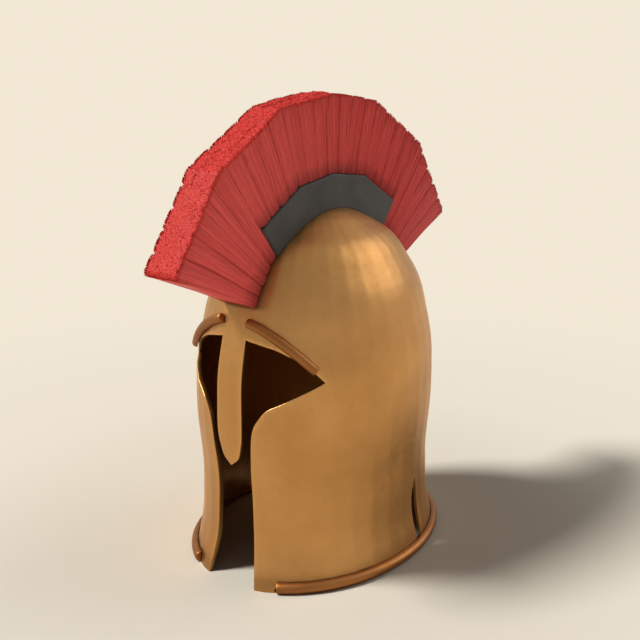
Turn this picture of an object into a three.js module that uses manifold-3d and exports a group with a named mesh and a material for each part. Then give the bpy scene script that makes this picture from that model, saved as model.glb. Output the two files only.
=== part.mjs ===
// Corinthian helmet: a hollow bronze bowl with nasal and cheek pieces, raised brow ridges,
// a bound lower rim, and a fore-and-aft horsehair crest set in an arched holder.
// Millimetres, +Z up. The helmet faces -Y and stands on z = 0, with its middle on the Z axis.
import * as THREE from 'three';
import { mergeVertices } from 'three/addons/utils/BufferGeometryUtils.js';
import Module from 'manifold-3d';

const wasm = await Module();
wasm.setup();

// ---- Driving dimensions (mm, degrees) ----------------------------------------------------

const ASPECT = 1.27;            // depth of every level of the bowl over its width
const COLUMNS = 36;             // facets round the bowl
const SOFTEN = 0.3;             // share of each side that a softened corner uses up
const GAP = 0.35;               // clearance between neighbouring pieces

// Levels of the bowl from the rim to the crown: outer half width, and the wall's thickness.
const BOWL_LEVELS = [
  { z: 0, half: 105.9, wall: 2.4 },
  { z: 39, half: 98.3, wall: 2.4 },
  { z: 88.4, half: 96.9, wall: 2.3 },
  { z: 140.6, half: 101.1, wall: 2.2 },
  { z: 192.5, half: 100, wall: 2.1 },
  { z: 251.7, half: 88.5, wall: 1.8 },
  { z: 293.8, half: 65.2, wall: 1.7 },
  { z: 317, half: 30.1, wall: 1.7 },
  { z: 326, half: 3, wall: 1.7 },
];
const FACE_WALL = 2.2;          // extra thickness of the wall at the middle of the face

// Half of the face opening, seen from the front: up the cheek piece's edge, round the eye
// hole and down the nasal. `soft` marks the corners that are rounded over.
const FACE_OPENING = [
  { x: 26.6, z: 0, soft: false },
  { x: 21.1, z: 39.9, soft: true },
  { x: 19, z: 100, soft: true },
  { x: 22.8, z: 149, soft: true },
  { x: 34, z: 166.8, soft: true },
  { x: 51.5, z: 176, soft: true },
  { x: 72.6, z: 190.5, soft: false },
  { x: 60.5, z: 207, soft: true },
  { x: 38.5, z: 219, soft: true },
  { x: 12.8, z: 224.6, soft: false },
  { x: 13.4, z: 192.5, soft: true },
  { x: 13.9, z: 138.8, soft: true },
  { x: 8.9, z: 118.1, soft: true },
  { x: 0, z: 110.8, soft: false },
];

// The notch between cheek piece and neck guard, seen from the side: the y of its two edges.
const NOTCH = [
  { z: 70, front: 24.5, rear: 26 },
  { z: 55, front: 18.2, rear: 31 },
  { z: 38, front: 17.9, rear: 33 },
  { z: 15, front: 20.4, rear: 33 },
  { z: 0, front: 23, rear: 31 },
];
const CUT_BELOW = 10;           // how far an opening's cutter runs on below the rim
const CUT_INNER = 0.75;         // a cutter's inner and outer faces, as shares of the bowl
const CUT_OUTER = 1.25;

const BROW_RADIUS = 4.2;
const BROW_PROUD = 1.4;         // how far a ridge's centre line stands off the bowl
const BROW_INNER = { x: 13.5, z: 239.5 };
const BROW_BEND = { x: 41.2, z: 232.8 };
const BROW_OUTER = { x: 68, z: 201 };
const BROW_SIDES = 12;
const BROW_STEPS = 16;

const RIM_RADIUS = 5;
const RIM_HALF = 105.3;         // half width of the rim bead's centre line
const RIM_START = 25.5;         // angle from the front to each end of the bead
const RIM_SEAT = 3.5;           // height of the bowl's edge where it sits in the bead
const RIM_LEAD = 1;             // how much nearer the front the bowl's edge is cut back
const RIM_SIDES = 12;
const RIM_STEPS = 40;

const FAN_Z = 190;              // height of the point that the crest fans out from
const HOLDER_THICK = 38.3;
const HOLDER_BEVEL = 1.5;
const HOLDER_ROOT = 90;         // inner reach of the holder, before the bowl cuts it
const HOLDER_ARC = 100;         // length of the holder's inner edge from its middle to an end
// The holder's upper edge: straight runs between these corners, mirrored front to rear.
const HOLDER_EDGE = [
  { angle: 51.3, reach: 160.8 },
  { angle: 72.4, reach: 162.6 },
  { angle: 90, reach: 161.8 },
];

const CREST_THICK = 36.3;
const CREST_ROOT = 100;         // inner reach of the locks, before the bowl cuts them
// The crest's trimmed edge, in straight runs as the holder's.
const CREST_EDGE = [
  { angle: 26.8, reach: 225.9 },
  { angle: 50.1, reach: 232.1 },
  { angle: 72.1, reach: 233.9 },
  { angle: 90, reach: 233.4 },
];
const LOCKS = 25;               // locks along the crest, in each row
const LOCK_DEPTH = 13.1;        // thickness of a lock across the crest
const LOCK_ROWS = [
  { x: (LOCK_DEPTH - CREST_THICK) / 2, shift: 0 },
  { x: 0, shift: 0.5 },
  { x: (CREST_THICK - LOCK_DEPTH) / 2, shift: 0 },
];
// A lock's section, as shares of its thickness and width.
const LOCK_SECTION = [
  { x: 0.5, aside: -0.36 },
  { x: 0.5, aside: 0.36 },
  { x: 0, aside: 0.5 },
  { x: -0.5, aside: 0.36 },
  { x: -0.5, aside: -0.36 },
  { x: 0, aside: -0.5 },
];
const LOCK_OVERLAP = 1.2;       // width of a lock over the spacing of the locks
const LOCK_TIP = 13;            // length over which a lock narrows to its trimmed end
const LOCK_TIP_WIDTH = 0.75;
const LOCK_TIP_DEPTH = 0.85;
const LOCK_SHORT = 3;           // most that a lock falls short of the trimmed edge
const LOCK_LIFT = 0.12;         // most that a lock lies nearer the middle, as a share
const BACKING_THICK = 31;
const BACKING_MARGIN = 9;       // how far the backing stays inside the trimmed edge
const BACKING_INSET = 0.02;     // and inside the crest's two ends, as a share of the fan

// ---- Materials ---------------------------------------------------------------------------

const bronze = new THREE.MeshStandardMaterial({ color: 0xac783e, roughness: 0.42, metalness: 1 });
const darkBronze = new THREE.MeshStandardMaterial({ color: 0x875830, roughness: 0.5, metalness: 1 });
const leather = new THREE.MeshStandardMaterial({ color: 0x3f3c39, roughness: 0.75, metalness: 0 });
const horsehair = new THREE.MeshStandardMaterial({ color: 0xa33c37, roughness: 0.8, metalness: 0 });

// ---- Geometry helpers --------------------------------------------------------------------

const radians = THREE.MathUtils.degToRad;

function solidOf(geometry) {
  const bare = geometry.clone();
  bare.deleteAttribute('normal');
  bare.deleteAttribute('uv');
  const merged = mergeVertices(bare, 1e-4);
  const vertProperties = new Float32Array(merged.attributes.position.array);
  const triVerts = new Uint32Array(merged.index.array);
  return new wasm.Manifold(new wasm.Mesh({ numProp: 3, vertProperties, triVerts }));
}

function geometryOf(solid) {
  const mesh = solid.getMesh();
  const geometry = new THREE.BufferGeometry();
  geometry.setAttribute('position', new THREE.BufferAttribute(mesh.vertProperties, 3));
  geometry.setIndex(new THREE.BufferAttribute(mesh.triVerts, 1));
  geometry.computeVertexNormals();
  return geometry;
}

// A closed skin over a stack of rings with equal numbers of points. Seen from the last ring,
// each ring runs anticlockwise. `cap` triangulates one ring: by default a fan.
function loft(rings, cap) {
  const count = rings[0].length;
  const fan = Array.from({ length: count - 2 }, (_, i) => [0, i + 1, i + 2]);
  const faces = [];
  for (let r = 0; r + 1 < rings.length; r += 1) {
    for (let c = 0; c < count; c += 1) {
      const a = r * count + c;
      const b = r * count + ((c + 1) % count);
      faces.push([a, b, b + count], [a, b + count, a + count]);
    }
  }
  const last = (rings.length - 1) * count;
  (cap ?? fan).forEach(([a, b, c]) => {
    faces.push([c, b, a], [last + a, last + b, last + c]);
  });
  const geometry = new THREE.BufferGeometry();
  geometry.setAttribute('position', new THREE.Float32BufferAttribute(rings.flat(2), 3));
  geometry.setIndex(faces.flat());
  return geometry;
}

function mix(a, b, share) {
  const between = { ...a };
  for (const key of Object.keys(a)) {
    if (typeof a[key] === 'number') between[key] = a[key] + (b[key] - a[key]) * share;
  }
  return between;
}

// Rounds the corners of a path that `isSoft` picks, in `steps` short runs each; its ends and
// its other corners stay crisp.
function softened(path, isSoft, steps) {
  return path.flatMap((corner, i) => {
    if (i === 0 || i === path.length - 1 || !isSoft(corner)) return [corner];
    const before = mix(corner, path[i - 1], SOFTEN);
    const after = mix(corner, path[i + 1], SOFTEN);
    return Array.from({ length: steps + 1 }, (_, k) => {
      const share = k / steps;
      return mix(mix(before, corner, share), mix(corner, after, share), share);
    });
  });
}

// ---- The bowl ----------------------------------------------------------------------------

const BOWL_PROFILE = softened(BOWL_LEVELS, () => true, 1);

function halfWidthAt(z) {
  const next = Math.max(BOWL_PROFILE.findIndex((row) => row.z > z), 1);
  const low = BOWL_PROFILE[next - 1];
  const high = BOWL_PROFILE[next];
  return mix(low, high, Math.max(z - low.z, 0) / (high.z - low.z)).half;
}

// The bowl as a full solid. `offset(row, front)` moves its surface outwards, where front
// falls from 1 at the middle of the face to 0 at the sides.
function bowlSolid(offset) {
  const rings = BOWL_PROFILE.map((row, i) => {
    const low = BOWL_PROFILE[Math.max(i - 1, 0)];
    const high = BOWL_PROFILE[Math.min(i + 1, BOWL_PROFILE.length - 1)];
    const run = Math.hypot(high.z - low.z, high.half - low.half);
    const outward = (high.z - low.z) / run;
    const upward = i === 0 ? 0 : (low.half - high.half) / run;
    return Array.from({ length: COLUMNS }, (_, c) => {
      const angle = (c / COLUMNS) * 2 * Math.PI;
      const step = offset(row, Math.max(Math.cos(angle), 0) ** 4);
      return [
        (row.half + step * outward) * Math.sin(angle),
        -(row.half * ASPECT + step * outward) * Math.cos(angle),
        row.z + step * upward,
      ];
    });
  });
  return solidOf(loft(rings));
}

const wallInside = (grow) => (row, front) => -row.wall - FACE_WALL * front - grow;

// A prism with the given outline on the bowl's surface, running in towards the Z axis and
// out from it. Outline points are {x, y, z}, anticlockwise as seen from outside in (u, z).
function radialCutter(outline, u) {
  const flat = outline.map((point) => new THREE.Vector2(point[u.axis] * u.sign, point.z));
  const anticlockwise = THREE.ShapeUtils.area(flat) > 0;
  const ordered = anticlockwise ? outline : outline.slice().reverse();
  const contour = anticlockwise ? flat : flat.slice().reverse();
  const cap = THREE.ShapeUtils.triangulateShape(contour, []).map(([a, b, c]) => {
    const corner = [contour[a], contour[b], contour[c]];
    return THREE.ShapeUtils.area(corner) > 0 ? [a, b, c] : [a, c, b];
  });
  const ring = (share) => ordered.map((point) => [point.x * share, point.y * share, point.z]);
  return solidOf(loft([ring(CUT_INNER), ring(CUT_OUTER)], cap));
}

// The face opening on one side of the middle; `side` is 1 on the wearer's left (+X).
function faceCutter(side) {
  const edge = softened(FACE_OPENING, (corner) => corner.soft, 2);
  const outline = [
    { x: -1, z: -CUT_BELOW },
    { x: edge[0].x, z: -CUT_BELOW },
    ...edge,
    { x: -1, z: edge[edge.length - 1].z },
  ];
  const onBowl = outline.map(({ x, z }) => {
    const half = halfWidthAt(z);
    return { x: x * side, y: -ASPECT * Math.sqrt(half * half - x * x), z };
  });
  return radialCutter(onBowl, { axis: 'x', sign: 1 });
}

function notchCutter(side, grow = 0) {
  const rows = softened(NOTCH, () => true, 2);
  const foot = { ...rows[rows.length - 1], z: -CUT_BELOW };
  const down = [...rows, foot].map(({ z, front }) => ({ z, y: front - grow }));
  const up = [...rows, foot].reverse().map(({ z, rear }) => ({ z, y: rear + grow }));
  const onBowl = [...down, ...up].map(({ y, z }) => {
    const half = halfWidthAt(z);
    return { x: side * Math.sqrt(half * half - (y / ASPECT) ** 2), y, z };
  });
  return radialCutter(onBowl, { axis: 'y', sign: side });
}

// Everything below `height`, from `start` degrees off the front round the back.
function footCutter(start, height) {
  const width = 2 * RIM_HALF;
  const arc = new THREE.EllipseCurve(
    0, 0, width, width * ASPECT, radians(start - 90), radians(270 - start),
  );
  const sector = new THREE.Shape([new THREE.Vector2(), ...arc.getPoints(COLUMNS)]);
  const depth = height + CUT_BELOW;
  const slab = new THREE.ExtrudeGeometry(sector, { depth, bevelEnabled: false });
  slab.translate(0, 0, -CUT_BELOW);
  return solidOf(slab);
}

function shellGeometry() {
  return geometryOf(
    bowlSolid(() => 0)
      .subtract(bowlSolid(wallInside(0)))
      .subtract(faceCutter(1))
      .subtract(faceCutter(-1))
      .subtract(notchCutter(1))
      .subtract(notchCutter(-1))
      .subtract(footCutter(RIM_START - RIM_LEAD, RIM_SEAT)),
  );
}

// ---- Brow ridges -------------------------------------------------------------------------

class BrowPath extends THREE.Curve {
  constructor(side) {
    super();
    this.side = side;
  }

  getPoint(t, target = new THREE.Vector3()) {
    const first = mix(BROW_INNER, BROW_BEND, t);
    const second = mix(BROW_BEND, BROW_OUTER, t);
    const { x, z } = mix(first, second, t);
    const half = halfWidthAt(z) + BROW_PROUD;
    return target.set(x * this.side, -ASPECT * Math.sqrt(half * half - x * x), z);
  }
}

function polygon(radius, sides) {
  const corners = Array.from({ length: sides }, (_, i) => {
    const angle = ((i + 0.5) / sides) * 2 * Math.PI;
    return new THREE.Vector2(radius * Math.cos(angle), radius * Math.sin(angle));
  });
  return new THREE.Shape(corners);
}

function browGeometry(side) {
  const tube = new THREE.ExtrudeGeometry(polygon(BROW_RADIUS, BROW_SIDES), {
    extrudePath: new BrowPath(side),
    steps: BROW_STEPS,
  });
  return geometryOf(solidOf(tube).subtract(bowlSolid(() => GAP)));
}

// ---- Rim bead ----------------------------------------------------------------------------

class RimPath extends THREE.Curve {
  getPoint(t, target = new THREE.Vector3()) {
    const angle = radians(RIM_START + t * (360 - 2 * RIM_START));
    return target.set(
      RIM_HALF * Math.sin(angle),
      -RIM_HALF * ASPECT * Math.cos(angle),
      RIM_RADIUS,
    );
  }
}

// A solid bead with a groove that the bowl's edge sits in; under the notches it is whole.
function rimGeometry() {
  const flatRadius = RIM_RADIUS / Math.cos(Math.PI / RIM_SIDES);
  const bead = new THREE.ExtrudeGeometry(polygon(flatRadius, RIM_SIDES), {
    extrudePath: new RimPath(),
    steps: RIM_STEPS,
  });
  const groove = bowlSolid(() => GAP)
    .subtract(bowlSolid(wallInside(GAP)))
    .subtract(notchCutter(1, -GAP))
    .subtract(notchCutter(-1, -GAP))
    .subtract(footCutter(RIM_START / 2, RIM_SEAT - GAP));
  return geometryOf(solidOf(bead).subtract(groove));
}

// ---- Crest -------------------------------------------------------------------------------

// Both halves of an edge table, from the front round to the rear.
function fullEdge(edge) {
  const rear = edge.slice(0, -1).reverse().map(({ angle, reach }) => ({ angle: 180 - angle, reach }));
  return [...edge, ...rear];
}

function fanPoint(angle, reach) {
  return new THREE.Vector2(-reach * Math.cos(radians(angle)), FAN_Z + reach * Math.sin(radians(angle)));
}

// How far an edge of straight runs lies from the fan's centre at an angle.
function reachAt(edge, angle) {
  const next = Math.max(edge.findIndex((corner) => corner.angle >= angle), 1);
  const low = edge[next - 1];
  const high = edge[next];
  const fromLow = Math.sin(radians(angle - low.angle)) / high.reach;
  const toHigh = Math.sin(radians(high.angle - angle)) / low.reach;
  return Math.sin(radians(high.angle - low.angle)) / (fromLow + toHigh);
}

// A fan-shaped slab standing in the YZ plane: `thick` wide in X, from `root` out to `edge`.
function fanSlab(edge, root, thick, bevel) {
  const outline = [
    fanPoint(edge[0].angle, root),
    ...edge.map(({ angle, reach }) => fanPoint(angle, reach)),
    fanPoint(edge[edge.length - 1].angle, root),
  ];
  const slab = new THREE.ExtrudeGeometry(new THREE.Shape(outline), {
    depth: thick - 2 * bevel,
    bevelEnabled: bevel > 0,
    bevelThickness: bevel,
    bevelSize: bevel,
    bevelOffset: -bevel,
    bevelSegments: 1,
  });
  slab.translate(0, 0, bevel - thick / 2);
  slab.applyMatrix4(new THREE.Matrix4().makeBasis(
    new THREE.Vector3(0, 1, 0),
    new THREE.Vector3(0, 0, 1),
    new THREE.Vector3(1, 0, 0),
  ));
  return solidOf(slab);
}

function holderGeometry() {
  const block = fanSlab(fullEdge(HOLDER_EDGE), HOLDER_ROOT, HOLDER_THICK, HOLDER_BEVEL);
  return geometryOf(block.subtract(bowlSolid(() => GAP)));
}

// A repeatable number from 0 to 1 for each pair of whole numbers.
function scatter(i, j) {
  const value = Math.sin(i * 12.9898 + j * 78.233) * 43758.5453;
  return value - Math.floor(value);
}

// One lock: a flattened strip that widens from the bowl outwards and narrows at its end.
function lockSolid(angle, x, reach, spread) {
  const stations = [
    { at: CREST_ROOT, width: 1, depth: 1 },
    { at: reach - LOCK_TIP, width: 1, depth: 1 },
    { at: reach, width: LOCK_TIP_WIDTH, depth: LOCK_TIP_DEPTH },
  ];
  const rings = stations.map(({ at, width, depth }) => LOCK_SECTION.map((corner) => {
    const middle = fanPoint(angle, at);
    const aside = corner.aside * width * spread * at;
    return [
      x + corner.x * depth * LOCK_DEPTH,
      middle.x + aside * Math.sin(radians(angle)),
      middle.y + aside * Math.cos(radians(angle)),
    ];
  }));
  return solidOf(loft(rings));
}

function plumeGeometry() {
  const edge = fullEdge(CREST_EDGE);
  const first = edge[0].angle;
  const last = edge[edge.length - 1].angle;
  const spacing = (last - first) / LOCKS;
  const spread = radians(spacing) * LOCK_OVERLAP;
  const inset = (spacing * LOCK_OVERLAP) / 2;
  const backingEdge = edge.map(({ angle, reach }) => ({
    angle: angle + (90 - angle) * BACKING_INSET,
    reach: reach - BACKING_MARGIN,
  }));
  let plume = fanSlab(backingEdge, CREST_ROOT, BACKING_THICK, 0);
  LOCK_ROWS.forEach((row, j) => {
    const count = LOCKS - Math.ceil(row.shift);
    for (let i = 0; i < count; i += 1) {
      const share = (i + row.shift) / (LOCKS - 1);
      const angle = first + inset + share * (last - first - 2 * inset);
      const short = LOCK_SHORT * scatter(i, j) * Math.sin(Math.PI * share);
      const reach = reachAt(edge, angle) - short;
      const x = row.x * (1 - LOCK_LIFT * scatter(j, i));
      plume = plume.add(lockSolid(angle, x, reach, spread));
    }
  });
  const seat = fullEdge(HOLDER_EDGE).map(({ angle, reach }) => ({
    angle: 90 + (angle - 90) * (1 + GAP / HOLDER_ARC),
    reach: reach + GAP,
  }));
  return geometryOf(
    plume
      .subtract(fanSlab(seat, HOLDER_ROOT, 2 * CREST_THICK, 0))
      .subtract(bowlSolid(() => GAP)),
  );
}

// ---- The helmet --------------------------------------------------------------------------

const helmet = new THREE.Group();

function addPiece(name, geometry, material) {
  const piece = new THREE.Mesh(geometry, material);
  piece.name = name;
  helmet.add(piece);
}

addPiece('shell', shellGeometry(), bronze);
addPiece('brow_ridge_left', browGeometry(1), darkBronze);
addPiece('brow_ridge_right', browGeometry(-1), darkBronze);
addPiece('rim_bead', rimGeometry(), darkBronze);
addPiece('crest_holder', holderGeometry(), leather);
addPiece('crest_plume', plumeGeometry(), horsehair);

export default helmet;
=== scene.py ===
"""The finish of a Corinthian helmet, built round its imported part. The helmet faces -Y.

Tables and sizes are in millimetres, taken to metres by MM, and angles are in degrees.
"""

import math
from collections import namedtuple

import bpy
import numpy as np
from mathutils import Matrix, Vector
from mathutils.geometry import delaunay_2d_cdt


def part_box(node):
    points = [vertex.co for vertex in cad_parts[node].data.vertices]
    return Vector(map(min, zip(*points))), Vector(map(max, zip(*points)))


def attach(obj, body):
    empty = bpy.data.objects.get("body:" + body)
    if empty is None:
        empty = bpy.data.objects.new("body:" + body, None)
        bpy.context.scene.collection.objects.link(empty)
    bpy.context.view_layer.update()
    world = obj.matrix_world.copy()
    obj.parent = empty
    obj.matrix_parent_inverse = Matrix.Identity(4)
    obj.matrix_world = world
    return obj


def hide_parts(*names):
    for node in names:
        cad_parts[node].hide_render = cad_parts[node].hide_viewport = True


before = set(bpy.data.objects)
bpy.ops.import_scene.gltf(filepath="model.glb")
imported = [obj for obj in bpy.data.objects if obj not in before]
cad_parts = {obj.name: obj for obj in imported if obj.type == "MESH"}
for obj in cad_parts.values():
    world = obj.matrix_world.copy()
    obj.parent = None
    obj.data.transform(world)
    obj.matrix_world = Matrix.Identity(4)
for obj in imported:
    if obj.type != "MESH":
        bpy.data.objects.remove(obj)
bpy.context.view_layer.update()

# ---- Sizes that the frame sets

CROWN = 326             # height of the bowl's crown
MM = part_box("shell")[1].z / CROWN
RIM_RADIUS = (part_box("rim_bead")[1].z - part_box("rim_bead")[0].z) / MM / 2
RIM_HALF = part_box("rim_bead")[1].x / MM - RIM_RADIUS
HOLDER_THICK = (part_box("crest_holder")[1].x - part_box("crest_holder")[0].x) / MM
CREST_THICK = (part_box("crest_plume")[1].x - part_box("crest_plume")[0].x) / MM
CREST_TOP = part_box("crest_plume")[1].z / MM
BOX_CLEAR = 0.2         # how far the crest's two ends stay inside its box
CREST_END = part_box("crest_plume")[1].y / MM - BOX_CLEAR

# ---- The bowl

ASPECT = 1.27           # the bowl's length over its width
FLATS = 36              # faint upright planes left by raising the bowl
FLATNESS = 0.95         # 1 would make them flat, and 0 round
SOFTEN = 0.3            # share of each run that a rounded corner uses up
GAP = 0.35              # clearance between neighbouring pieces
BEND_STEPS = 10         # runs of a rounded corner of the profile
OPENING_STEPS = 5       # and of an opening
OUT_STEPS = 600         # rows in the table of the ways out of the bowl's face

Level = namedtuple("Level", "z half wall")
BOWL_LEVELS = [
    Level(0, 105.9, 2.4),
    Level(39, 98.3, 2.4),
    Level(88.4, 96.9, 2.3),
    Level(140.6, 101.1, 2.2),
    Level(192.5, 100, 2.1),
    Level(251.7, 88.5, 1.8),
    Level(293.8, 65.2, 1.7),
    Level(317, 30.1, 1.7),
    Level(CROWN, 3, 1.7),
]
FACE_WALL = 2.2         # extra thickness of the wall at the very front
FACE_FADE = 4           # how fast that fades round the sides
FOOT_RUN = 12           # run above the foot within which the wall's thickness lies level

Corner = namedtuple("Corner", "x z soft", defaults=[True])
FACE_OPENING = [
    Corner(26.6, 0, False),
    Corner(21.1, 39.9),
    Corner(19, 100),
    Corner(22.8, 149),
    Corner(34, 166.8),
    Corner(51.5, 176),
    Corner(72.6, 190.5, False),
    Corner(60.5, 207),
    Corner(38.5, 219),
    Corner(12.8, 224.6, False),
    Corner(13.4, 192.5),
    Corner(13.9, 138.8),
    Corner(8.9, 118.1),
    Corner(0, 110.8, False),
]

Slot = namedtuple("Slot", "z front rear")
NOTCH = [
    Slot(70, 24.5, 26),
    Slot(55, 18.2, 31),
    Slot(38, 17.9, 33),
    Slot(15, 20.4, 33),
    Slot(0, 23, 31),
]

RIM_START = 25.5        # angle from the front to each end of the rim bead
RIM_LEAD = 1            # how much nearer the front the bowl's edge is cut back
RIM_SEAT = 3.5          # height of the bowl's edge where it sits in the bead

BROW_RADIUS = 4.2
BROW_PROUD = 1.4
BROW_CURVE = np.array([[13.5, 239.5], [41.2, 232.8], [68, 201]])   # x, z: ends and bend

FAN_Z = 190             # height of the point that the crest fans out from
Edge = namedtuple("Edge", "angle reach")
HOLDER_EDGE = [Edge(51.3, 160.8), Edge(72.4, 162.6), Edge(90, 161.8)]
CREST_EDGE = [
    Edge(26.8, 225.9),
    Edge(50.1, 232.1),
    Edge(72.1, 233.9),
    Edge(90, CREST_TOP - FAN_Z),
]


def mix(a, b, share):
    return a + (b - a) * share


def unit(vectors):
    return vectors / np.linalg.norm(vectors, axis=-1, keepdims=True)


def softened(path, soft, steps):
    """Rounds the soft corners of a path, given as rows of numbers, in short runs."""
    out = []
    for i, corner in enumerate(path):
        if i in (0, len(path) - 1) or not soft[i]:
            out.append(corner)
            continue
        before = mix(corner, path[i - 1], SOFTEN)
        after = mix(corner, path[i + 1], SOFTEN)
        for share in np.linspace(0, 1, steps + 1):
            out.append(mix(mix(before, corner, share), mix(corner, after, share), share))
    return np.array(out)


levels = np.array(BOWL_LEVELS, float)
profile = softened(levels, [True] * len(levels), BEND_STEPS)
PROFILE_Z, PROFILE_HALF, PROFILE_WALL = profile.T
lengths = np.hypot(np.diff(PROFILE_Z), np.diff(PROFILE_HALF))
PROFILE_RUN = np.concatenate([[0], np.cumsum(lengths)])     # way up the face from its foot
OUT_RUN = np.linspace(0, PROFILE_RUN[-1], OUT_STEPS)
OUT_HALF = np.gradient(np.interp(OUT_RUN, PROFILE_RUN, PROFILE_Z), OUT_RUN)
OUT_Z = -np.gradient(np.interp(OUT_RUN, PROFILE_RUN, PROFILE_HALF), OUT_RUN)
OUT_Z *= np.clip(OUT_RUN / FOOT_RUN, 0, 1)


def half_at(z):
    """Half the bowl's width at a height."""
    return np.interp(z, PROFILE_Z, PROFILE_HALF)


def run_at(z):
    return np.interp(z, PROFILE_Z, PROFILE_RUN)


def angle_at_x(x, z):
    """Angle round the bowl, from the front, of a point of its face given by x and z."""
    return np.degrees(np.arcsin(x / half_at(z)))


def angle_at_y(y, z):
    """The same for a point of its side given by y and z."""
    return np.degrees(np.arccos(-y / (ASPECT * half_at(z))))


def bowl_points(angle, run, depth=0.0, inward=0.0):
    """Points of the bowl at angles round it and runs up its face. depth 0 is its outside and 1
    its inside, and inward adds to that, in mm."""
    angle, run = np.broadcast_arrays(np.asarray(angle, float), np.asarray(run, float))
    turn = np.radians(angle)
    step = 360 / FLATS
    middle = np.radians(angle % step - step / 2)
    flat = 1 - FLATNESS * (1 - math.cos(math.radians(step / 2)) / np.cos(middle))
    half = np.interp(run, PROFILE_RUN, PROFILE_HALF) * flat
    wall = np.interp(run, PROFILE_RUN, PROFILE_WALL)
    wall = wall + FACE_WALL * np.clip(np.cos(turn), 0, 1) ** FACE_FADE
    move = -(depth * wall + inward)
    out = move * np.interp(run, OUT_RUN, OUT_HALF)
    x = (half + out) * np.sin(turn)
    y = -(half * ASPECT + out) * np.cos(turn)
    z = np.interp(run, PROFILE_RUN, PROFILE_Z) + move * np.interp(run, OUT_RUN, OUT_Z)
    return np.stack([x, y, z], axis=-1)


# ---- Mesh making

SHARP = 50              # edges that turn by more than this are crisp
MERGE_PARTS = 1e3       # points that agree to this many parts of a mm are welded


def add_mesh(name, points, faces, material, marks=None, replaces=None):
    """A smooth mesh from points in mm and arrays of triangles and quads. marks are numbers for
    each point, which the materials read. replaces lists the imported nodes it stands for."""
    mesh = bpy.data.meshes.new(name)
    points = np.asarray(points, float) * MM
    groups = [np.asarray(f, np.int32) for f in faces if len(f)]
    loops = np.concatenate([f.ravel() for f in groups])
    sizes = np.concatenate([np.full(len(f), f.shape[1], np.int32) for f in groups])
    mesh.vertices.add(len(points))
    mesh.vertices.foreach_set("co", points.astype(np.float32).ravel())
    mesh.loops.add(len(loops))
    mesh.loops.foreach_set("vertex_index", loops)
    mesh.polygons.add(len(sizes))
    starts = np.concatenate([[0], np.cumsum(sizes)[:-1]])
    mesh.polygons.foreach_set("loop_start", starts.astype(np.int32))
    mesh.polygons.foreach_set("use_smooth", np.ones(len(sizes), bool))
    mesh.update(calc_edges=True)
    mesh.validate()
    mesh.set_sharp_from_angle(angle=math.radians(SHARP))
    for mark, values in (marks or {}).items():
        layer = mesh.attributes.new(mark, "FLOAT", "POINT")
        layer.data.foreach_set("value", np.asarray(values, np.float32))
    mesh.materials.append(material)
    piece = bpy.data.objects.new(name, mesh)
    bpy.context.scene.collection.objects.link(piece)
    if replaces:
        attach(piece, "root")
        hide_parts(*replaces)
    return piece


def grid_faces(rows, columns):
    """Quads of a grid of points whose rows close on themselves, row by row."""
    across = np.arange(columns)
    base = np.arange(rows - 1)[:, None] * columns
    a = base + across
    b = base + (across + 1) % columns
    return np.stack([a, b, b + columns, a + columns], axis=-1).reshape(-1, 4)


def cap_faces(ring, centre, flip=False):
    """A fan of triangles from a ring of point numbers to a point at its centre."""
    fan = np.stack([ring, np.roll(ring, -1), np.full(len(ring), centre)], axis=-1)
    return fan[:, ::-1] if flip else fan


def closed_bar(rings, flip):
    """Points and faces of a bar through rings of points, closed by a fan at each end."""
    count = len(rings[0])
    total = count * len(rings)
    ring = np.arange(count)
    faces = [
        grid_faces(len(rings), count),
        cap_faces(ring, total, flip=True),
        cap_faces(ring + total - count, total + 1),
    ]
    if flip:
        faces = [f[:, ::-1] for f in faces]
    return np.vstack([*rings, rings[0].mean(0), rings[-1].mean(0)]), faces


def strip_faces(before, after):
    """Quads between two open rows of point numbers."""
    return np.stack([before[:-1], before[1:], after[1:], after[:-1]], axis=-1)


def weld(points, faces, marks):
    """Merges points that lie on each other."""
    key = np.round(points * MERGE_PARTS).astype(np.int64)
    _, first, where = np.unique(key, axis=0, return_index=True, return_inverse=True)
    where = where.ravel()
    welded = []
    for group in faces:
        group = where[group]
        whole = np.ones(len(group), bool)
        for i in range(group.shape[1]):
            whole &= group[:, i] != group[:, i - 1]
        welded.append(group[whole])
    return points[first], welded, {name: values[first] for name, values in marks.items()}


# ---- The bowl's sheet

SHEET_STEP = 2.7        # size of the sheet's triangles
ROW_STEP = SHEET_STEP * 0.866       # height of one with three equal sides
EDGE_STEP = 0.75 * SHEET_STEP
EDGE_CLEAR = 0.62 * SHEET_STEP      # least distance of its inner points from its outline
SEAM_STEPS = 80         # points up the seam at the back
PER_DEGREE = 1.97       # mm round the bowl for one degree, near enough
DOME_Z = 231            # height above which the sheet is a plain grid of rings
DOME_COLUMNS = 256
DOME_ROWS = 54

LIP = 0.6               # how far the eased lip of each opening reaches over the sheet
LIP_MITRE = 0.5         # keeps its sharp corners from reaching too far
# The lip, from outside to inside: how far set back, as a share of LIP, how deep, how worn and
# how dark.
LipRing = namedtuple("LipRing", "back depth worn dark")
LIP_SECTION = [
    LipRing(0.3, 0.05, 1, 0),
    LipRing(0, 0.16, 0.6, 0.7),
    LipRing(0, 0.5, 0, 1),
    LipRing(0, 0.84, 0, 1),
    LipRing(0.3, 0.95, 0, 1),
]
LIP_THICK = 1.3         # extra thickness of the sheet along its openings
LIP_REACH = 6
LIP_START = 12          # run at which that thickness starts, above the rim bead
LIP_RISE = 20           # and the run that it takes to reach its full size

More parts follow.
